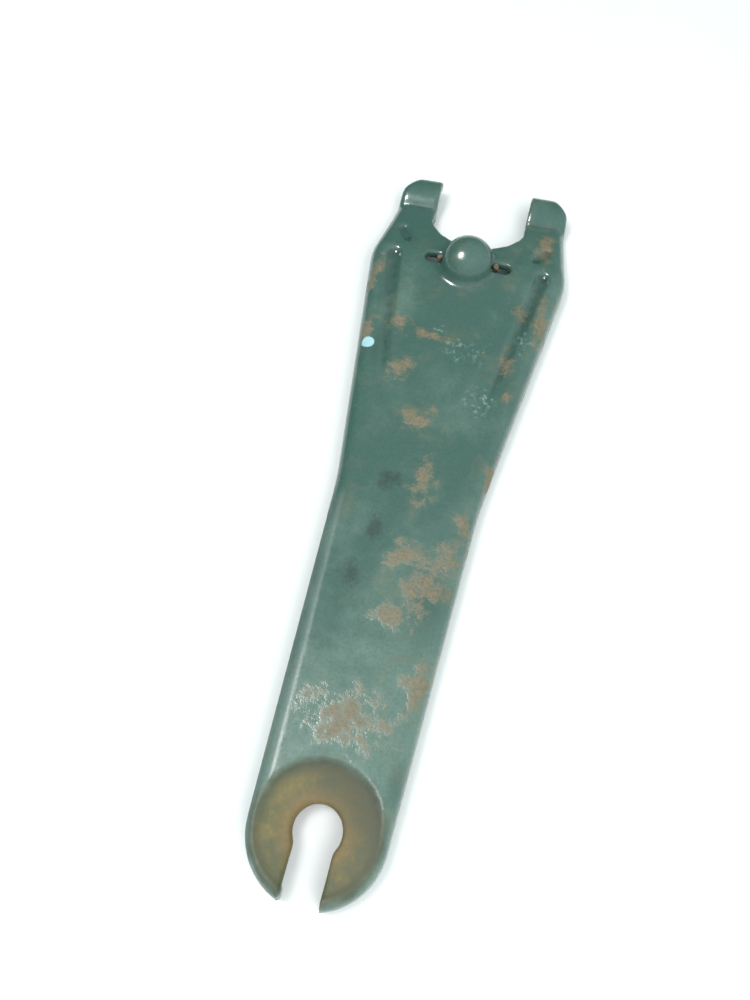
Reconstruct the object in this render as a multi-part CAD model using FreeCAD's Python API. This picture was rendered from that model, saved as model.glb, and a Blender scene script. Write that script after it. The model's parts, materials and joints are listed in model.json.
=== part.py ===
"""Pressed-steel clutch release fork with its ball-retaining spring.

The lever lies on the rims of its turned-down flanges. +X is across the arm, +Y runs from the
keyhole end to the two fingers, and +Z points out of the face that carries the pivot dome and
the contact pads. Everything is drawn from the keyhole centre and the face of the arm, and
moved at the end so that the origin is at the bottom centre of the whole fork.
"""
import FreeCAD, Part
import os
from math import cos, hypot, radians, sin, sqrt, tan

Vec = FreeCAD.Vector
UP = Vec(0, 0, 1)

# Driving dimensions, in millimetres and degrees
SHEET = 4.0                  # thickness of the plate
DEPTH = 12.0                 # face of the arm down to the flange rims
BEND_OUT = 5.5               # outside radius where face and flange meet
BEND_IN = BEND_OUT - SHEET

TAIL_R = 23.0                # round end, centred on the keyhole
ARM_TAPER = 2.3              # each side of the arm, degrees
WAIST_Y = 122.0              # where the arm starts to widen into the head
WAIST_R = 160.0
HEAD_TAPER = 7.8             # each side of the head, degrees
SHOULDER_Y = 235.0           # corner where the head's side turns in
SHOULDER_R = 24.0
ROOT_X = 40.2                # corner where a finger leaves the shoulder
ROOT_Y = 258.0
ROOT_R = 12.0
TIP_X = 38.2                 # outer side of a finger at its chamfer
CHAMFER_Y = 276.5
NOSE_X = 32.8                # width left at the end of a finger
NOSE_Y = 284.4
CORNER_R = 6.2

GAP = 41.4                   # clear width between the fingers
GAP_FLOOR_Y = 246.4          # bottom of the fork opening
GAP_R = 22.5

FINGER_BEND_Y = 240.0        # cross bend where the fingers start to dip
FINGER_BEND_R = 30.0
FINGER_DIP = 9.5             # degrees

PAD_R = 12.0                 # contact pad: the arched end of a finger
PAD_Y = 277.4
PAD_RISE = 5.6               # crest above the line of the finger's face
PAD_SIDE_R = 3.0             # rounding along the pad's outer side

PIVOT_Y = 234.5              # ball pivot
PIVOT_Z = 1.2                # ball centre above the face
BALL_R = 7.6
DOME_R = BALL_R + SHEET
DOME_FOOT_R = 3.0
MOUTH_R = 1.5                # rounding of the socket's mouth

WINDOW_IN = 10.4             # inner and outer ends of the two windows, from the middle
WINDOW_OUT = 18.8
WINDOW_WIDTH = 4.8
FUNNEL_R = 4.6               # rounded hollow that leads into each window
FUNNEL_DEPTH = 1.2
WINDOW_Y = 236.2

GROOVE_R = 3.6               # stiffening grooves
GROOVE_DEPTH = 2.4
GROOVE_TOP = (32.8, 235.0)
GROOVE_END = (20.0, 158.0)
RIB_WALL = 2.6
DIMPLE_A = (32.4, 252.0)     # short groove at the root of each finger
DIMPLE_B = (28.8, 245.8)
DIMPLE_R = 3.2
DIMPLE_DEPTH = 1.6

SEAT_R = 19.6                # dished seat round the keyhole
SEAT_Y = 0.8
SEAT_DEPTH = 2.8
SEAT_WALL = 1.3              # height of the steep wall round the seat
HOLE_R = 8.0
SLOT_WIDTH = 12.8
NECK_R = 3.0
HOLE_LIP_R = 1.5

WIRE_R = 1.2                 # ball-retaining spring
WIRE_GAP = 0.4               # between the wire and the plate
TOE_GAP = 0.8                # between a toe and the end of its window
TOE_Z = 0.6                  # end of each toe above the face
LEG_X = 6.7                  # the legs close in under the ball
LEG_FRONT_Y = -4.0
LEG_BACK_Y = -17.0
LOOP_R = 6.0
WIRE_BEND_R = 1.6

FAR = 400.0                  # beyond the whole fork


def line(a, b):
    """Straight edge between two points."""
    return Part.LineSegment(a, b).toShape()


def rounded_path(points, radii):
    """Edges through the points, each inner corner rounded to its own radius."""
    edges = []
    start = points[0]
    for before, corner, after, radius in zip(points, points[1:], points[2:], radii):
        to_before = (before - corner).normalize()
        to_after = (after - corner).normalize()
        half_angle = to_before.getAngle(to_after) / 2
        a = corner + to_before * (radius / tan(half_angle))
        b = corner + to_after * (radius / tan(half_angle))
        middle = (to_before + to_after).normalize()
        crown = corner + middle * (radius / sin(half_angle) - radius)
        edges.append(line(start, a))
        edges.append(Part.Arc(a, crown, b).toShape())
        start = b
    edges.append(line(start, points[-1]))
    return edges


def solid_of(edges, way):
    """Solid swept straight from a closed flat outline."""
    return Part.Face(Part.Wire(edges)).extrude(way)


def mirrored(shape):
    """The same shape on the other side of the arm."""
    return shape.mirror(Vec(0, 0, 0), Vec(1, 0, 0))


def both_sides(shape):
    """The shape and its mirror image."""
    return [shape, mirrored(shape)]


def capsule(a, b, radius):
    """Round bar with ball ends."""
    way = b - a
    bar = Part.makeCylinder(radius, way.Length, a, way)
    return bar.fuse([Part.makeSphere(radius, a), Part.makeSphere(radius, b)])


def slab(low, high):
    """Everything between two heights."""
    return Part.makeBox(2 * FAR, 2 * FAR, high - low, Vec(-FAR, -FAR, low))


# Outline of the pressing, seen from the face

def head_x(y):
    """Half width of the widening head at a distance y."""
    at_waist = TAIL_R / cos(radians(ARM_TAPER)) + WAIST_Y * tan(radians(ARM_TAPER))
    return at_waist + (y - WAIST_Y) * tan(radians(HEAD_TAPER))


def outline(open_tips):
    """Closed outline; with open tips the sides run on past the ends of the fingers."""
    taper = radians(ARM_TAPER)
    points = [
        Vec(TAIL_R * cos(taper), -TAIL_R * sin(taper), 0),
        Vec(head_x(WAIST_Y), WAIST_Y, 0),
        Vec(head_x(SHOULDER_Y), SHOULDER_Y, 0),
        Vec(ROOT_X, ROOT_Y, 0),
    ]
    radii = [WAIST_R, SHOULDER_R, ROOT_R]
    if open_tips:
        points += [Vec(TIP_X, FAR, 0)]
    else:
        points += [Vec(TIP_X, CHAMFER_Y, 0), Vec(NOSE_X, NOSE_Y, 0)]
        radii += [CORNER_R]
    side = rounded_path(points, radii)
    end = points[-1]
    across = line(end, Vec(-end.x, end.y, 0))
    a = points[0]
    tail = Part.Arc(Vec(-a.x, a.y, 0), Vec(0, -TAIL_R, 0), a).toShape()
    edges = side + [across] + [mirrored(edge) for edge in side] + [tail]
    return Part.Wire(Part.__sortEdges__(edges))


def under_face(down):
    """Everything below the bent face of the plate, sunk by a distance."""
    corner_y = FINGER_BEND_Y - down * tan(radians(FINGER_DIP / 2))
    drop = (FAR - corner_y) * tan(radians(FINGER_DIP))
    points = [Vec(0, -FAR, -down), Vec(0, corner_y, -down), Vec(0, FAR, -down - drop)]
    top = rounded_path(points, [FINGER_BEND_R - down])
    low = [Vec(0, FAR, -FAR), Vec(0, -FAR, -FAR)]
    rest = [line(points[2], low[0]), line(low[0], low[1]), line(low[1], points[0])]
    bar = solid_of(top + rest, Vec(2 * FAR, 0, 0))
    bar.translate(Vec(-FAR, 0, 0))
    return bar


def shell_block(wire, down, floor, radius):
    """Block inside an outline, under the face, with its top edge rounded."""
    block = Part.Face(wire).extrude(Vec(0, 0, -60)).common(under_face(down))
    block = block.common(slab(floor, 10)).removeSplitter()
    rim = []
    for edge in block.Edges:
        sides = block.ancestorsOfType(edge, Part.Face)
        tilts = sorted(abs(face_normal(face).z) for face in sides)
        above = edge.BoundBox.ZMin > floor + 0.5
        end = edge.BoundBox.YLength < 0.01 and edge.BoundBox.YMin > FINGER_BEND_Y
        if above and not end and tilts[0] < 0.1 and tilts[1] > 0.9:
            rim.append(edge)
    return block.makeFillet(radius, rim)


def face_normal(face):
    """Normal in the middle of a face."""
    u0, u1, v0, v1 = face.ParameterRange
    return face.normalAt((u0 + u1) / 2, (v0 + v1) / 2)


def face_z(y):
    """Height of the finger's face at a distance y."""
    return -(y - FINGER_BEND_Y) * tan(radians(FINGER_DIP))


def pressing():
    """Bent plate with its flanges, before anything is pressed or cut."""
    outer = shell_block(outline(False), 0, -DEPTH, BEND_OUT)
    inner_wire = outline(True).makeOffset2D(-SHEET)
    inner = shell_block(inner_wire, SHEET, -DEPTH - 10, BEND_IN)
    return outer.cut(inner)


# Fork opening, pads and pivot dome

def fork_opening():
    """Tool that clears the gap between the fingers."""
    half = GAP / 2
    side_y = GAP_FLOOR_Y + GAP_R - sqrt(GAP_R ** 2 - half ** 2)
    a, b = Vec(-half, side_y, 0), Vec(half, side_y, 0)
    floor = Part.Arc(a, Vec(0, GAP_FLOOR_Y, 0), b).toShape()
    top_a, top_b = Vec(-half, FAR, 0), Vec(half, FAR, 0)
    edges = [floor, line(b, top_b), line(top_b, top_a), line(top_a, a)]
    tool = solid_of(edges, Vec(0, 0, 60))
    tool.translate(Vec(0, 0, -40))
    return tool


def pad_bar(radius, low_x, high_x):
    """Round bar along a pad."""
    centre = Vec(low_x, PAD_Y, face_z(PAD_Y) + PAD_RISE - PAD_R)
    return Part.makeCylinder(radius, high_x - low_x, centre, Vec(1, 0, 0))


def pad_block():
    """Arched end of a finger, with its outer side rounded."""
    plan = Part.Face(outline(False)).extrude(Vec(0, 0, DEPTH + 10))
    plan.translate(Vec(0, 0, -DEPTH))
    block = pad_bar(PAD_R, GAP / 2, 2 * TIP_X).common(plan)
    side = []
    for edge in block.Edges:
        box = edge.BoundBox
        curved = box.ZMax > -DEPTH + 1 and box.YMin > PAD_Y - PAD_R - 1 and box.ZLength > 0.01
        if box.XMin > NOSE_X - 0.5 and curved and not is_upright(edge):
            side.append(edge)
    return block.makeFillet(PAD_SIDE_R, side)


def is_upright(edge):
    """True for an edge that runs straight up."""
    box = edge.BoundBox
    return box.XLength < 0.001 and box.YLength < 0.001


def pad_hollow():
    """Tool for the hollow behind a pad, open below."""
    inner = PAD_R - SHEET
    low_x, high_x = GAP / 2 - 5, NOSE_X
    centre_z = face_z(PAD_Y) + PAD_RISE - PAD_R
    corner = Vec(low_x, PAD_Y - inner, centre_z - 20)
    trough = Part.makeBox(high_x - low_x, 2 * inner, 20, corner)
    return trough.fuse(pad_bar(inner, low_x, high_x))


def near_ball(edge):
    """Distance of an edge's middle from the ball's upright axis."""
    return hypot(edge.CenterOfMass.x, edge.CenterOfMass.y - PIVOT_Y)


ball = Vec(0, PIVOT_Y, PIVOT_Z)
lever = pressing().cut(fork_opening())
lever = lever.fuse(both_sides(pad_block())).cut(both_sides(pad_hollow()))

lever = lever.fuse(Part.makeSphere(DOME_R, ball).cut(slab(-FAR, -1)))
foot = []
for edge in lever.Edges:
    box = edge.BoundBox
    if near_ball(edge) < DOME_R and box.ZMin > -2 and box.ZMax < 1:
        foot.append(edge)
lever = lever.makeFillet(DOME_FOOT_R, foot)
stem = Part.makeCylinder(BALL_R, PIVOT_Z + 20, ball - UP * (PIVOT_Z + 20))
lever = lever.cut(Part.makeSphere(BALL_R, ball).fuse(stem))
mouth = []
for edge in lever.Edges:
    box, start = edge.BoundBox, edge.Vertexes[0]
    on_rim = hypot(start.X, start.Y - PIVOT_Y) < BALL_R + 0.1
    if on_rim and box.ZMin > -SHEET - 1 and box.ZMax < -SHEET + 0.1:
        mouth.append(edge)
lever = lever.makeFillet(MOUTH_R, mouth)


# Windows, grooves and dimples

def window():
    """Tool for one round-ended window beside the dome."""
    end = WINDOW_WIDTH / 2
    a = Vec(WINDOW_IN + end, WINDOW_Y, -20)
    b = Vec(WINDOW_OUT - end, WINDOW_Y, -20)
    slot = Part.makeBox(b.x - a.x, WINDOW_WIDTH, 40, a - Vec(0, end, 0))
    ends = [Part.makeCylinder(end, 40, a), Part.makeCylinder(end, 40, b)]
    rise = Vec(0, 0, 20 + FUNNEL_R - FUNNEL_DEPTH)
    return slot.fuse(ends + [capsule(a + rise, b + rise, FUNNEL_R)])


def groove_line():
    """Ends of a groove's axis; it climbs out of the face toward the arm."""
    a = Vec(*GROOVE_TOP, GROOVE_R - GROOVE_DEPTH)
    b = Vec(*GROOVE_END, GROOVE_R)
    return a, b


def groove_rib():
    """Ridge that a groove leaves under the plate."""
    a, b = groove_line()
    return capsule(a, b, GROOVE_R + RIB_WALL).common(slab(-DEPTH, -SHEET + 0.5))


def dimple(radius):
    """Short groove at the root of a finger."""
    low = radius - DIMPLE_DEPTH
    a, b = Vec(*DIMPLE_A, 0), Vec(*DIMPLE_B, 0)
    a.z = face_z(a.y) + low
    b.z = face_z(b.y) + low
    return capsule(a, b, radius)


lever = lever.fuse(both_sides(groove_rib()))
lever = lever.cut(both_sides(capsule(*groove_line(), GROOVE_R)))
lever = lever.cut(both_sides(dimple(DIMPLE_R)))
lever = lever.cut(both_sides(window()))


# Dished seat and keyhole

def seat_tool(sink):
    """Dish with a steep, sloping wall, sunk below the face by a thickness."""
    top = Vec(SEAT_R + SEAT_WALL, 0, 0)
    rim = Vec(SEAT_R, 0, -SEAT_WALL)
    low = Vec(0, 0, -SEAT_DEPTH)
    radius = (SEAT_R ** 2 + (SEAT_DEPTH - SEAT_WALL) ** 2) / (2 * (SEAT_DEPTH - SEAT_WALL))
    half = radius - sqrt(radius ** 2 - (SEAT_R / 2) ** 2)
    bowl = Part.Arc(rim, Vec(SEAT_R / 2, 0, half - SEAT_DEPTH), low).toShape()
    above = Vec(SEAT_R + SEAT_WALL, 0, 10)
    axis = Vec(0, 0, 10)
    edges = [line(top, rim), bowl, line(low, axis), line(axis, above), line(above, top)]
    tool = Part.Face(Part.Wire(edges)).revolve(Vec(0, 0, 0), UP, 360)
    tool.translate(Vec(0, SEAT_Y, -sink))
    return tool


def keyhole():
    """Tool for the round hole with its slot out through the end."""
    half = SLOT_WIDTH / 2
    reach = sqrt((HOLE_R + NECK_R) ** 2 - (half + NECK_R) ** 2)
    neck = Vec(half + NECK_R, -reach, 0)
    on_hole = neck * (HOLE_R / (HOLE_R + NECK_R))
    on_slot = Vec(half, -reach, 0)
    away = (Vec(half, -reach, 0) - neck).normalize() + (on_hole - neck).normalize()
    middle = neck + away.normalize() * NECK_R
    bottom = Vec(half, -FAR, 0)
    top = Part.Arc(on_hole, Vec(0, HOLE_R, 0), Vec(-on_hole.x, on_hole.y, 0)).toShape()
    side = [Part.Arc(on_hole, middle, on_slot).toShape(), line(on_slot, bottom)]
    across = line(bottom, Vec(-half, -FAR, 0))
    edges = Part.__sortEdges__([top, across] + side + [mirrored(edge) for edge in side])
    tool = solid_of(edges, Vec(0, 0, 60))
    tool.translate(Vec(0, 0, -40))
    return tool


bulge = seat_tool(SHEET).common(Part.makeCylinder(TAIL_R - 1, 20, Vec(0, 0, -SHEET - 15)))
bulge = bulge.cut(slab(-SHEET + 0.5, FAR))
lever = lever.fuse(bulge).cut(seat_tool(0))
lever = lever.cut(keyhole())
lip = []
for edge in lever.Edges:
    box, middle = edge.BoundBox, edge.CenterOfMass
    inside = hypot(middle.x, middle.y) < TAIL_R - 2 and abs(middle.x) < HOLE_R + 1
    if inside and box.ZMin > -SEAT_DEPTH - 0.1 and box.ZMax < -0.8:
        lip.append(edge)
lever = lever.makeFillet(HOLE_LIP_R, lip)


# Ball-retaining spring

def retaining_spring():
    """Bent wire: a toe up through each window, legs under the ball, a loop behind."""
    wire_z = -SHEET - WIRE_GAP - WIRE_R
    toe_x = WINDOW_IN + TOE_GAP + WIRE_R
    front_y = PIVOT_Y + LEG_FRONT_Y
    back_y = PIVOT_Y + LEG_BACK_Y
    half = [
        Vec(toe_x, WINDOW_Y, TOE_Z),
        Vec(toe_x, WINDOW_Y, wire_z),
        Vec(LEG_X, front_y, wire_z),
        Vec(LEG_X, back_y, wire_z),
    ]
    points = half + [Vec(-p.x, p.y, p.z) for p in reversed(half)]
    bends = [WIRE_BEND_R, WIRE_BEND_R, LOOP_R]
    path = Part.Wire(rounded_path(points, bends + bends[::-1]))
    ring = Part.Wire(Part.makeCircle(WIRE_R, half[0], UP))
    return path.makePipeShell([ring], True, False)


spring = retaining_spring()
tail_end_y = -sqrt(TAIL_R ** 2 - (SLOT_WIDTH / 2) ** 2)
middle_y = (NOSE_Y + tail_end_y) / 2
os.makedirs("parts", exist_ok=True)
for name, shape in (("release_lever", lever), ("ball_retaining_spring", spring)):
    shape.translate(Vec(0, -middle_y, DEPTH))
    shape.exportStep("parts/" + name + ".step")
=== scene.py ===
"""Clutch release fork: worn paint, rusted cable seat and sprung ball pivot, on a pale floor."""
import json
from math import cos, radians, sin

import bpy
from bpy.props import FloatProperty, FloatVectorProperty, IntProperty, PointerProperty
from bpy.types import Operator, Panel, PropertyGroup
from mathutils import Matrix, Vector


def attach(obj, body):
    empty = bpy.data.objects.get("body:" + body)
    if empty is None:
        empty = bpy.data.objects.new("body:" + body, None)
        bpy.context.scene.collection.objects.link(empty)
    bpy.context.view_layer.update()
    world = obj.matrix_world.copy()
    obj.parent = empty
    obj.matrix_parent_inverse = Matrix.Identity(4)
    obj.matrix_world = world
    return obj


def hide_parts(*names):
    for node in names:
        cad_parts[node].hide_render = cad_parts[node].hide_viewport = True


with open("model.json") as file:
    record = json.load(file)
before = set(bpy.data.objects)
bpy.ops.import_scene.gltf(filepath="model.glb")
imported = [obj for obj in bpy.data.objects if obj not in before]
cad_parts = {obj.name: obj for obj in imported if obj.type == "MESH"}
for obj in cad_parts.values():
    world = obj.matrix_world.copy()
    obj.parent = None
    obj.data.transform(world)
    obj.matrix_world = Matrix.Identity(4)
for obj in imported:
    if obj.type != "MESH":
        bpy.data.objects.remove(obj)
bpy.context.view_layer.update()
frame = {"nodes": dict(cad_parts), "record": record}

bl_info = {
    "name": "Clutch release fork",
    "version": (1, 0, 0),
    "blender": (4, 5, 0),
    "location": "3D View > Sidebar > Release fork",
    "description": "Finishes a pressed-steel clutch release fork and lights it",
    "category": "Object",
}

# The fork's own places, in metres
MM = 0.001
RECORD_MOUNTS = {mount["name"]: Vector(mount["pos_m"]) for mount in frame["record"]["mounts"]}
SEAT = RECORD_MOUNTS["cable_seat"]
PIVOT = RECORD_MOUNTS["ball_pivot"]
FACE_Z = 0.012

# Sizes on the fork, in millimetres
ARM_HALF_WIDTH = 23.0            # beside the keyhole
ARM_SPREAD = 0.04                # extra half width for each millimetre toward the head
SEAT_FADE = (23.6, 19.0)         # radii between which the seat's rust sets in
DAB = (-31.8, 53.4, FACE_Z / MM)
DAB_EDGE = (3.5, 3.0)
PATCH_DEPTH = 30.0

# Colours that belong to one layer only
GRAIN = (0.030, 0.062, 0.055)
SMUDGE = (0.020, 0.030, 0.024)
CHALK = (0.30, 0.44, 0.38)
HAZE = (0.165, 0.165, 0.105)
# Painted shade: dark colour laid into concave hollows
HOLLOW_SHADE = (0.016, 0.030, 0.026)
SEAT_OLIVE = (0.105, 0.100, 0.036)
SEAT_BROWN = (0.215, 0.155, 0.050)
SEAT_RUST = (0.265, 0.150, 0.045)
# Painted shade on the rim of the seat's dish
SEAT_RIM_SHADE = (0.050, 0.058, 0.032)
# Painted shade on the upper right of the seat
SEAT_SHADE = (0.055, 0.050, 0.022)
SEAT_GRAIN = (0.06, 0.07, 0.045)
BARE_WIRE = (0.22, 0.20, 0.17)

# Stage
FLOOR_SIZE = 6.0
FLOOR_WHITE = (0.90, 0.90, 0.90)
KEY_PLACE = PIVOT + Vector((-0.31, -0.24, 0.92)) * 0.9
GLINT_PLACE = PIVOT + Vector((-0.46, -0.20, 0.82)) * 0.9
BROAD_PLACE = Vector((0.75, -0.75, 1.2))
SKY_WAY = (0.50, -0.42, 0.42)
SENSOR = 24.0
FOCAL = SENSOR * 0.785

# Patches on the paint: middle across and along the arm, and half sizes, in millimetres
RUST_PATCHES = [
    ((-22.0, 66.5), (8.0, 5.0)),
    ((-8.0, 62.5), (12.0, 3.6)),
    ((-16.0, 44.0), (8.0, 8.0)),
    ((-4.0, 22.0), (9.0, 8.0)),
    ((26.0, 84.0), (6.0, 5.0)),
    ((36.0, 78.0), (4.0, 20.0)),
    ((24.5, 56.0), (5.0, 9.0)),
    ((31.0, 2.0), (5.0, 15.0)),
    ((24.0, -20.0), (5.0, 10.0)),
    ((15.0, -44.0), (11.0, 14.0)),
    ((20.5, -34.0), (8.0, 10.0)),
    ((7.0, -58.0), (9.0, 8.0)),
    ((5.0, -4.0), (6.0, 13.0)),
    ((4.0, -36.0), (7.0, 9.0)),
    ((20.0, -82.0), (6.0, 14.0)),
    ((28.0, 40.0), (3.0, 3.0)),
    ((0.0, -96.0), (18.0, 12.0)),
    ((32.0, 124.0), (5.0, 14.0)),
    ((-38.0, 90.0), (3.5, 14.0)),
    ((-33.5, 60.0), (3.0, 12.0)),
]
CHALK_PATCHES = [
    ((19.0, 34.0), (9.0, 10.0)),
    ((31.0, 67.0), (5.0, 10.0)),
    ((8.0, 58.0), (12.0, 7.0)),
    ((-5.0, 66.0), (4.0, 3.0)),
]
# Painted shade: darker paint along the grooves, beside the dome's windows and at the seat's upper right,
# and darker paint on a patch of the lower arm
SHADE_PATCHES = [
    ((18.0, -53.0), (10.0, 17.0)),
    ((-31.5, 88.0), (3.4, 20.0)),
    ((-27.0, 58.0), (3.2, 18.0)),
    ((31.0, 86.0), (3.6, 20.0)),
    ((26.0, 52.0), (3.4, 18.0)),
    ((-13.0, 104.0), (9.0, 7.0)),
    ((14.0, 104.0), (8.0, 6.0)),
    ((21.0, -112.0), (4.0, 9.0)),
]
SMUDGES = [
    ((-12.0, -47.0), (5.5, 6.0)),
    ((-8.0, -7.0), (5.5, 6.0)),
    ((-8.0, -28.0), (5.0, 8.0)),
]


class ForkFinish(PropertyGroup):
    """Colours and wear of the fork."""

    paint: FloatVectorProperty(
        name="Paint", description="Colour of the sound paint", subtype="COLOR",
        size=3, min=0, max=1, default=(0.052, 0.120, 0.098))
    # Also the colour of the painted sheen toward the keyhole
    paint_faded_and_sheen: FloatVectorProperty(
        name="Faded paint", description="Colour of the paint where it has chalked", subtype="COLOR",
        size=3, min=0, max=1, default=(0.125, 0.205, 0.170))
    rust: FloatVectorProperty(
        name="Rust", description="Colour of fresh rust", subtype="COLOR",
        size=3, min=0, max=1, default=(0.260, 0.180, 0.100))
    rust_dark: FloatVectorProperty(
        name="Old rust", description="Colour of old rust", subtype="COLOR",
        size=3, min=0, max=1, default=(0.150, 0.120, 0.066))
    dab: FloatVectorProperty(
        name="Paint dab", description="Colour of the small pale dab", subtype="COLOR",
        size=3, min=0, max=1, default=(0.40, 0.66, 0.70))
    skin: FloatProperty(
        name="Skin", description="Spacing of the pressing's surface points", unit="LENGTH",
        default=0.00085, min=0.0005, max=0.003, precision=5)
    easing: IntProperty(
        name="Easing", description="Passes that soften the pressed corners",
        default=4, min=0, max=20)
    paint_gloss: FloatProperty(
        name="Paint roughness", description="Roughness of the sound paint",
        default=0.23, min=0, max=1)


class StageSettings(PropertyGroup):
    """Camera, light and floor."""

    lean: FloatProperty(
        name="Lean", description="Turn of the arm away from upright in the view",
        subtype="ANGLE", default=radians(15.91))
    tilt: FloatProperty(
        name="Tilt", description="Angle between the line of sight and straight down",
        subtype="ANGLE", default=radians(25))
    roll: FloatProperty(
        name="Roll", description="How far the right side of the arm is nearer the camera",
        subtype="ANGLE", default=radians(8))
    offset: FloatVectorProperty(
        name="Offset", description="Keyhole from the camera: right, down and away",
        subtype="TRANSLATION", unit="LENGTH", size=3, default=(-0.01815, 0.10208, 0.24277))
    sky: FloatProperty(name="Sky", description="Brightness of the soft room light", default=0.95)
    key: FloatProperty(name="Key", description="Power of the main lamp", default=3.4)
    glint: FloatProperty(
        name="Glint", description="Power of the lamp seen only in reflections", default=11.0)
    fill: FloatProperty(name="Fill", description="Power of the broad lamp on the right", default=10.0)


# Small helpers

def only(obj):
    """Select one object and nothing else."""
    bpy.ops.object.select_all(action="DESELECT")
    obj.select_set(True)
    bpy.context.view_layer.objects.active = obj


def apply_modifier(obj, kind, **settings):
    """Add a modifier, set it and apply it."""
    only(obj)
    bpy.ops.object.modifier_add(type=kind)
    modifier = obj.modifiers[-1]
    for key, value in settings.items():
        setattr(modifier, key, value)
    bpy.ops.object.modifier_apply(modifier=modifier.name)


def merged_copy(node_name, name):
    """A CAD node's copy with its loose triangles joined."""
    source = frame["nodes"][node_name]
    obj = bpy.data.objects.new(name, source.data.copy())
    bpy.context.scene.collection.objects.link(obj)
    only(obj)
    bpy.ops.object.mode_set(mode="EDIT")
    bpy.ops.mesh.select_all(action="SELECT")
    bpy.ops.mesh.remove_doubles(threshold=2e-6)
    bpy.ops.mesh.select_all(action="DESELECT")
    bpy.ops.object.mode_set(mode="OBJECT")
    return obj


def press_softly(obj, voxel, passes):
    """Turn exact surfaces into an even skin and ease every corner, as pressing does."""
    apply_modifier(obj, "REMESH", mode="VOXEL", voxel_size=voxel, use_smooth_shade=True)
    apply_modifier(obj, "SMOOTH", factor=0.5, iterations=passes)
    only(obj)
    bpy.ops.object.shade_smooth()


def paint_all(obj, material):
    """Give the whole piece one material."""
    obj.data.materials.clear()
    obj.data.materials.append(material)


# Node building

def link(tree, value, socket):
    """Join an output to a socket, or set the socket to a plain value."""
    if isinstance(value, bpy.types.NodeSocket):
        tree.links.new(value, socket)
    else:
        socket.default_value = value


def maths(tree, operation, a, b=0.0, c=0.0, clamp=False):
    """One Math node; returns its output."""
    node = tree.nodes.new("ShaderNodeMath")
    node.operation = operation
    node.use_clamp = clamp
    for value, socket in zip((a, b, c), node.inputs):
        link(tree, value, socket)
    return node.outputs[0]


def vector_maths(tree, operation, a, b=(0, 0, 0)):
    """One Vector Math node; returns the node."""
    node = tree.nodes.new("ShaderNodeVectorMath")
    node.operation = operation
    link(tree, a, node.inputs[0])
    if operation == "SCALE":
        node.inputs["Scale"].default_value = b
    else:
        link(tree, b, node.inputs[1])
    return node


def noise(tree, position, scale, detail=4.0, rough=0.55, warp=0.0):
    """Noise over a position in millimetres; returns its value."""
    node = tree.nodes.new("ShaderNodeTexNoise")
    link(tree, position, node.inputs["Vector"])
    node.inputs["Scale"].default_value = scale
    node.inputs["Detail"].default_value = detail
    node.inputs["Roughness"].default_value = rough
    node.inputs["Distortion"].default_value = warp
    return node.outputs["Fac"]


def band(tree, value, low, high, to_low=0.0, to_high=1.0):
    """Smooth step from low to high."""
    node = tree.nodes.new("ShaderNodeMapRange")
    node.interpolation_type = "SMOOTHSTEP"
    link(tree, value, node.inputs["Value"])
    for key, number in zip(("From Min", "From Max", "To Min", "To Max"), (low, high, to_low, to_high)):
        link(tree, number, node.inputs[key])
    return node.outputs["Result"]


def mix(tree, share, a, b):
    """Mix two colours; returns the colour."""
    node = tree.nodes.new("ShaderNodeMix")
    node.data_type = "RGBA"
    link(tree, share, node.inputs["Factor"])
    for value, key in ((a, "A"), (b, "B")):
        socket = [s for s in node.inputs if s.name == key and s.type == "RGBA"][0]
        link(tree, rgba(value), socket)
    return [s for s in node.outputs if s.type == "RGBA"][0]


def rgba(value):
    """A colour property as four numbers; an output as it is."""
    if isinstance(value, bpy.types.NodeSocket):
        return value
    return (*value[:3], 1.0)


def new_group(name, inputs, outputs):
    """An empty node group with named sockets; returns the tree and its two ends."""
    tree = bpy.data.node_groups.new(name, "ShaderNodeTree")
    for label, kind in inputs:
        tree.interface.new_socket(label, in_out="INPUT", socket_type=kind)
    for label, kind in outputs:
        tree.interface.new_socket(label, in_out="OUTPUT", socket_type=kind)
    return tree, tree.nodes.new("NodeGroupInput"), tree.nodes.new("NodeGroupOutput")


def place_group(tree, group, **values):
    """Put a group in a tree and set its inputs."""
    node = tree.nodes.new("ShaderNodeGroup")
    node.node_tree = group
    for key, value in values.items():
        link(tree, value, node.inputs[key])
    return node.outputs


def patch_group():
    """Ragged patch round a middle, on the plan of the arm."""
    tree, ends, out = new_group(
        "Ragged patch",
        [("Position", "NodeSocketVector"), ("Middle", "NodeSocketVector"),
         ("Size", "NodeSocketVector"), ("Ragged", "NodeSocketFloat")],
        [("Mask", "NodeSocketFloat")])
    away = vector_maths(tree, "SUBTRACT", ends.outputs["Position"], ends.outputs["Middle"])
    shape = vector_maths(tree, "DIVIDE", away.outputs[0], ends.outputs["Size"])
    reach = vector_maths(tree, "LENGTH", shape.outputs[0]).outputs["Value"]
    broken = maths(tree, "ADD", maths(tree, "SUBTRACT", 1.0, reach), ends.outputs["Ragged"])
    link(tree, band(tree, broken, -0.05, 0.85), out.inputs["Mask"])
    return tree


def wear_and_hollow_shade_group():
    """Where corners stick out and rub bare, and where hollows get painted shade."""
    tree, ends, out = new_group(
        "Wear and hollow shade",
        [("Position", "NodeSocketVector")],
        [("Worn", "NodeSocketFloat"), ("Hollow shade", "NodeSocketFloat")])
    surface = tree.nodes.new("ShaderNodeNewGeometry")
    bend = surface.outputs["Pointiness"]
    broken = maths(tree, "SUBTRACT", noise(tree, ends.outputs["Position"], 0.30, 5.0), 0.5)
    bend = maths(tree, "MULTIPLY_ADD", broken, 0.03, bend)
    link(tree, band(tree, bend, 0.525, 0.580), out.inputs["Worn"])
    # Painted shade mask for concave hollows, read from the surface's pointiness
    link(tree, band(tree, bend, 0.497, 0.462), out.inputs["Hollow shade"])
    return tree


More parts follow.
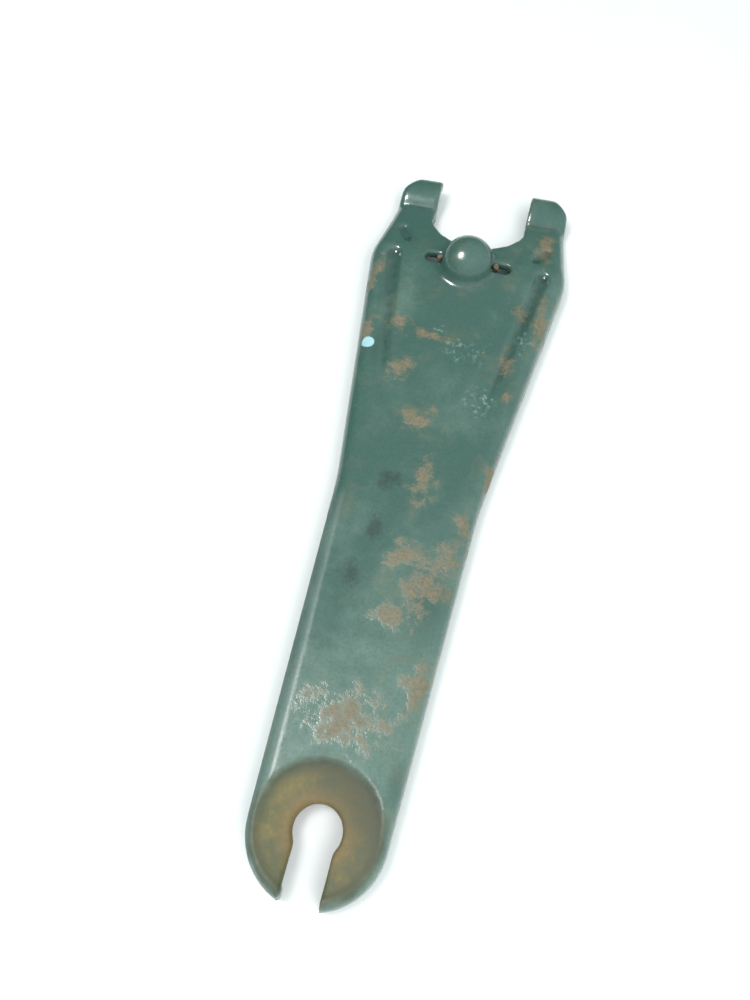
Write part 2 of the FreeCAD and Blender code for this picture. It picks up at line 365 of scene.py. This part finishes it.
def pitting_group():
    """Height of fine rust pits and scale."""
    tree, ends, out = new_group(
        "Pitting", [("Position", "NodeSocketVector")], [("Height", "NodeSocketFloat")])
    fine = noise(tree, ends.outputs["Position"], 1.6, 6.0, 0.7)
    coarse = noise(tree, ends.outputs["Position"], 0.45, 4.0, 0.6)
    link(tree, maths(tree, "MULTIPLY_ADD", coarse, 1.4, fine), out.inputs["Height"])
    return tree


def any_patch(tree, group, position, ragged, patches):
    """The strongest of several patches."""
    total = 0.0
    for (x, y), (half_x, half_y) in patches:
        mask = place_group(
            tree, group, Position=position, Middle=(x, y, FACE_Z / MM),
            Size=(half_x, half_y, PATCH_DEPTH), Ragged=ragged)["Mask"]
        total = maths(tree, "MAXIMUM", total, mask)
    return total


def new_material(name):
    """A material with an empty tree; returns it, its tree and its shader."""
    material = bpy.data.materials.new(name)
    material.use_nodes = True
    tree = material.node_tree
    return material, tree, tree.nodes["Principled BSDF"]


def millimetres(tree):
    """The piece's own coordinates in millimetres."""
    where = tree.nodes.new("ShaderNodeTexCoord")
    return vector_maths(tree, "SCALE", where.outputs["Object"], 1 / MM).outputs[0]


def bump(tree, shader, height, distance):
    """Fine relief."""
    node = tree.nodes.new("ShaderNodeBump")
    node.inputs["Distance"].default_value = distance
    link(tree, height, node.inputs["Height"])
    tree.links.new(node.outputs["Normal"], shader.inputs["Normal"])


def separate(tree, position, axis):
    """One coordinate of a position."""
    node = tree.nodes.new("ShaderNodeSeparateXYZ")
    tree.links.new(position, node.inputs[0])
    return node.outputs[axis]


# Materials

def mottles(tree, position):
    """The noises that the paint's layers share, from broad to fine."""
    return {
        "broad": noise(tree, position, 0.035, 3.0, 0.5, 0.4),
        "middle": noise(tree, position, 0.16, 5.0, 0.6),
        "fine": noise(tree, position, 0.9, 6.0, 0.65),
    }


def old_paint(tree, finish, position, mottle, grain):
    """Paint that still holds, mottled where it has chalked, with a painted sheen that makes it paler
    toward the keyhole and darker toward the head.
    """
    # Painted reflection: paler toward the keyhole, darker toward the head
    along = band(tree, separate(tree, position, "Y"), 20.0, -125.0, -0.14, 0.18)
    fade_and_sheen = maths(tree, "MULTIPLY_ADD", mottle["middle"], 0.30, mottle["broad"])
    fade_and_sheen = band(tree, maths(tree, "ADD", fade_and_sheen, along), 0.42, 0.98)
    return mix(tree, grain, mix(tree, fade_and_sheen, finish.paint, finish.paint_faded_and_sheen), GRAIN)


def painted_shade_and_stains(tree, finish, group, position, mottle, ragged, colour):
    """Painted shade in the hollows as deeper paint colour, then dark smudges and chalky flecks."""
    soft = maths(tree, "MULTIPLY_ADD", mottle["middle"], 0.8, -0.35)
    shade = any_patch(tree, group, position, soft, SHADE_PATCHES)
    painted_shade_colour = [0.72 * part for part in finish.paint]
    # Painted shade: deeper paint colour under the shade patches
    colour = mix(tree, maths(tree, "MULTIPLY", shade, 0.55), colour, painted_shade_colour)
    smudge = any_patch(tree, group, position, ragged, SMUDGES)
    colour = mix(tree, maths(tree, "MULTIPLY", smudge, 0.55), colour, SMUDGE)
    chalk = any_patch(tree, group, position, ragged, CHALK_PATCHES)
    specks = band(tree, noise(tree, position, 0.42, 4.0, 0.6), 0.50, 0.66)
    flecks = maths(tree, "MULTIPLY", chalk, specks)
    colour = mix(tree, maths(tree, "MULTIPLY", flecks, 0.6), colour, CHALK)
    haze = band(tree, noise(tree, position, 0.075, 4.0, 0.6, 0.6), 0.52, 0.72, 0.0, 0.30)
    return mix(tree, haze, colour, HAZE)


def rust_cover(tree, group, position, mottle, ragged, worn):
    """How much rust shows: in patches, and where corners are rubbed."""
    patches = any_patch(tree, group, position, ragged, RUST_PATCHES)
    rubbed = maths(tree, "MULTIPLY", worn, band(tree, mottle["middle"], 0.36, 0.60))
    patches = maths(tree, "MULTIPLY", patches, 0.72)
    return maths(tree, "MAXIMUM", patches, maths(tree, "MULTIPLY", rubbed, 0.6))


def rusted_seat(tree, position, from_seat, mottle, grain):
    """The bare dish round the keyhole, with painted shade at its rim and upper right; returns its mask
    and its colour.
    """
    flat = vector_maths(tree, "MULTIPLY", from_seat, (1, 1, 0)).outputs[0]
    radius = vector_maths(tree, "LENGTH", flat).outputs["Value"]
    ring = maths(tree, "MULTIPLY_ADD", maths(tree, "SUBTRACT", mottle["middle"], 0.5), 4.0, radius)
    on_top = band(tree, separate(tree, position, "Z"), 3.0, 7.0)
    mask = maths(tree, "MULTIPLY", band(tree, ring, *SEAT_FADE), on_top)

    colour = mix(tree, band(tree, mottle["middle"], 0.36, 0.66), SEAT_OLIVE, SEAT_BROWN)
    colour = mix(tree, band(tree, ring, 15.0, 9.0, 0.0, 0.55), colour, SEAT_RUST)
    # Painted shade: darker toward the dish's rim
    colour = mix(tree, band(tree, ring, 15.5, 20.5, 0.0, 0.72), colour, SEAT_RIM_SHADE)
    # Painted shade: darker toward the seat's upper right, where the dish wall faces away from the light
    upper = vector_maths(tree, "DOT_PRODUCT", from_seat, (0.62, 0.78, 0)).outputs["Value"]
    colour = mix(tree, band(tree, upper, 2.0, 16.0, 0.0, 0.70), colour, SEAT_SHADE)
    return mask, mix(tree, grain, colour, SEAT_GRAIN)


def dab_mask(tree, position, mottle):
    """The small dab of pale paint on the shoulder."""
    away = vector_maths(tree, "SUBTRACT", position, DAB).outputs[0]
    reach = vector_maths(tree, "LENGTH", away).outputs["Value"]
    return band(tree, maths(tree, "MULTIPLY_ADD", mottle["middle"], 1.2, reach), *DAB_EDGE)


def left_bend(tree, position, from_seat):
    """The rubbed bend along the arm's left side, below the head."""
    half = maths(tree, "MULTIPLY_ADD", separate(tree, from_seat, "Y"), ARM_SPREAD, ARM_HALF_WIDTH)
    inside = maths(tree, "ADD", separate(tree, position, "X"), half)
    on_arm = band(tree, separate(tree, position, "Y"), 0.0, -30.0)
    return maths(tree, "MULTIPLY", band(tree, inside, 7.0, 3.5), on_arm)


def worn_paint(finish, groups):
    """Aged grey-green paint over steel, with rust where it has failed."""
    material, tree, shader = new_material("worn grey-green paint")
    position = millimetres(tree)
    from_seat = vector_maths(tree, "SUBTRACT", position, SEAT / MM).outputs[0]
    mottle = mottles(tree, position)
    grain = band(tree, mottle["fine"], 0.35, 0.70, 0.0, 0.28)
    ragged = maths(tree, "MULTIPLY", maths(tree, "SUBTRACT", mottle["middle"], 0.53), 2.8)
    ragged = maths(tree, "MULTIPLY_ADD", maths(tree, "SUBTRACT", mottle["fine"], 0.5), 0.9, ragged)
    wear_and_hollow_shade = place_group(tree, groups["wear_and_shade"], Position=position)

    colour = old_paint(tree, finish, position, mottle, grain)
    colour = painted_shade_and_stains(tree, finish, groups["patch"], position, mottle, ragged, colour)
    rust = rust_cover(tree, groups["patch"], position, mottle, ragged, wear_and_hollow_shade["Worn"])
    rust_colour = mix(tree, band(tree, mottle["fine"], 0.38, 0.62), finish.rust_dark, finish.rust)
    colour = mix(tree, rust, colour, rust_colour)
    seat, seat_colour = rusted_seat(tree, position, from_seat, mottle, grain)
    colour = mix(tree, maths(tree, "MULTIPLY", seat, 0.92), colour, seat_colour)
    # Painted shade: darker colour in concave hollows
    colour = mix(tree, maths(tree, "MULTIPLY", wear_and_hollow_shade["Hollow shade"], 0.75), colour, HOLLOW_SHADE)
    colour = mix(tree, dab_mask(tree, position, mottle), colour, finish.dab)
    tree.links.new(colour, shader.inputs["Base Color"])

    bend = maths(tree, "MULTIPLY", left_bend(tree, position, from_seat), 0.6)
    dull = maths(tree, "MAXIMUM", rust, maths(tree, "MULTIPLY", seat, 0.75))
    dull = maths(tree, "MAXIMUM", dull, bend)
    rough = band(tree, dull, 0.0, 1.0, finish.paint_gloss, 0.80)
    uneven = maths(tree, "SUBTRACT", mottle["middle"], 0.5)
    rough = maths(tree, "MULTIPLY_ADD", uneven, 0.25, rough, clamp=True)
    tree.links.new(rough, shader.inputs["Roughness"])
    tree.links.new(band(tree, dull, 0.0, 0.6, 0.25, 0.0), shader.inputs["Coat Weight"])
    shader.inputs["Coat Roughness"].default_value = 0.14

    pits = place_group(tree, groups["pits"], Position=position)["Height"]
    height = maths(tree, "MULTIPLY", pits, maths(tree, "MULTIPLY_ADD", dull, 0.45, 0.07))
    height = maths(tree, "MULTIPLY_ADD", mottle["broad"], 1.5, height)
    bump(tree, shader, height, 0.00022)
    return material


def rusty_wire(finish, pits_group):
    """Spring steel with a film of rust."""
    material, tree, shader = new_material("rusty spring wire")
    position = millimetres(tree)
    spots = band(tree, noise(tree, position, 0.7, 5.0, 0.65), 0.42, 0.60)
    colour = mix(tree, spots, BARE_WIRE, finish.rust)
    tree.links.new(colour, shader.inputs["Base Color"])
    tree.links.new(band(tree, spots, 0.0, 1.0, 0.38, 0.85), shader.inputs["Roughness"])
    tree.links.new(band(tree, spots, 0.0, 1.0, 0.85, 0.10), shader.inputs["Metallic"])
    pits = place_group(tree, pits_group, Position=position)["Height"]
    bump(tree, shader, pits, 0.0001)
    return material


def plain(name, colour, rough):
    """A plain stage material with a faint mottle."""
    material, tree, shader = new_material(name)
    position = millimetres(tree)
    mottle = band(tree, noise(tree, position, 0.01, 2.0), 0.3, 0.7)
    shade = mix(tree, mottle, colour, [0.985 * part for part in colour])
    tree.links.new(shade, shader.inputs["Base Color"])
    shader.inputs["Roughness"].default_value = rough
    return material


# Operators

class FORK_OT_lever(Operator):
    """Round the cut edges of the pressing and paint it"""

    bl_idname = "fork.lever"
    bl_label = "Painted lever"

    def execute(self, context):
        finish = context.scene.fork_finish
        groups = {"patch": patch_group(), "wear_and_shade": wear_and_hollow_shade_group(), "pits": pitting_group()}
        lever = merged_copy("release_lever", "painted_lever")
        press_softly(lever, finish.skin, finish.easing)
        paint_all(lever, worn_paint(finish, groups))
        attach(lever, "fork")
        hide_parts("release_lever")
        return {"FINISHED"}


class FORK_OT_spring(Operator):
    """Give the ball-retaining spring its film of rust"""

    bl_idname = "fork.spring"
    bl_label = "Rusty spring"

    def execute(self, context):
        wire = frame["nodes"]["ball_retaining_spring"]
        paint_all(wire, rusty_wire(context.scene.fork_finish, pitting_group()))
        return {"FINISHED"}


def lamp(name, place, target, size, power):
    """A square soft white light aimed at a point."""
    bpy.ops.object.select_all(action="DESELECT")
    bpy.ops.object.light_add(type="AREA", location=place)
    obj = bpy.context.object
    obj.name = name
    obj.data.size = size
    obj.data.energy = power
    obj.rotation_euler = (target - place).to_track_quat("-Z", "Y").to_euler()
    return obj


def soft_room(tree, stage):
    """Room light: bright overhead and to the right, darker ahead and on the left."""
    where = tree.nodes.new("ShaderNodeTexCoord")
    facing = vector_maths(tree, "DOT_PRODUCT", where.outputs["Generated"], SKY_WAY)
    bright = band(tree, facing.outputs["Value"], -0.40, 0.60)
    colour = mix(tree, bright, (0.12, 0.22, 0.20), (0.90, 1.0, 1.0))
    back = tree.nodes["Background"]
    tree.links.new(colour, back.inputs["Color"])
    back.inputs["Strength"].default_value = stage.sky


class FORK_OT_stage(Operator):
    """Lay the floor, light it softly and place the camera over the keyhole"""

    bl_idname = "fork.stage"
    bl_label = "Floor, light and camera"

    def execute(self, context):
        stage = context.scene.fork_stage
        bpy.ops.object.select_all(action="DESELECT")
        bpy.ops.mesh.primitive_plane_add(size=FLOOR_SIZE, location=(0, 0, 0))
        floor = context.object
        floor.name = "Floor"
        paint_all(floor, plain("white floor", FLOOR_WHITE, 0.9))

        world = bpy.data.worlds.new("Soft room")
        context.scene.world = world
        world.use_nodes = True
        soft_room(world.node_tree, stage)
        key = lamp("Key lamp", KEY_PLACE, PIVOT, 0.30, stage.key)
        key.visible_glossy = False
        broad = lamp("Broad lamp", BROAD_PLACE, Vector((0, 0, 0)), 0.9, stage.fill)
        broad.visible_glossy = False
        glint = lamp("Glint lamp", GLINT_PLACE, PIVOT, 0.23, stage.glint)
        glint.visible_diffuse = False

        lean, tilt, roll = stage.lean, stage.tilt, -stage.roll
        along = Vector((sin(lean) * cos(tilt), -cos(lean) * cos(tilt), sin(tilt)))
        flat = Vector((cos(lean), sin(lean), 0))
        across = flat * cos(roll) - flat.cross(along) * sin(roll)
        up = across.cross(along)
        turn = Matrix((across, along, up))
        keyhole = Vector((SEAT.x, SEAT.y, FACE_Z))
        bpy.ops.object.camera_add()
        camera = context.object
        camera.name = "Camera"
        camera.data.sensor_fit = "VERTICAL"
        camera.data.sensor_height = SENSOR
        camera.data.lens = FOCAL
        camera.data.clip_start = 0.01
        right, down, away = turn.col[0], turn.col[1], turn.col[2]
        axes = Matrix((right, -down, -away)).transposed()
        camera.matrix_world = Matrix.Translation(keyhole - turn @ Vector(stage.offset)) @ axes.to_4x4()
        context.scene.camera = camera
        context.scene.view_settings.view_transform = "Standard"
        return {"FINISHED"}


class FORK_PT_panel(Panel):
    """Lists the fork's pieces and the stage"""

    bl_label = "Release fork"
    bl_idname = "FORK_PT_panel"
    bl_space_type = "VIEW_3D"
    bl_region_type = "UI"
    bl_category = "Release fork"

    def draw(self, context):
        column = self.layout.column()
        for name in ("paint", "paint_faded_and_sheen", "rust", "rust_dark", "dab", "skin", "easing", "paint_gloss"):
            column.prop(context.scene.fork_finish, name)
        for name in ("lean", "tilt", "roll", "offset", "sky", "key", "glint", "fill"):
            column.prop(context.scene.fork_stage, name)
        column.operator("fork.lever")
        column.operator("fork.spring")
        column.operator("fork.stage")


CLASSES = (ForkFinish, StageSettings, FORK_OT_lever, FORK_OT_spring, FORK_OT_stage, FORK_PT_panel)


def register():
    for cls in CLASSES:
        bpy.utils.register_class(cls)
    bpy.types.Scene.fork_finish = PointerProperty(type=ForkFinish)
    bpy.types.Scene.fork_stage = PointerProperty(type=StageSettings)


def unregister():
    del bpy.types.Scene.fork_stage
    del bpy.types.Scene.fork_finish
    for cls in reversed(CLASSES):
        bpy.utils.unregister_class(cls)


def main():
    register()
    bpy.ops.fork.lever()
    bpy.ops.fork.spring()
    bpy.ops.fork.stage()


if __name__ == "__main__":
    main()
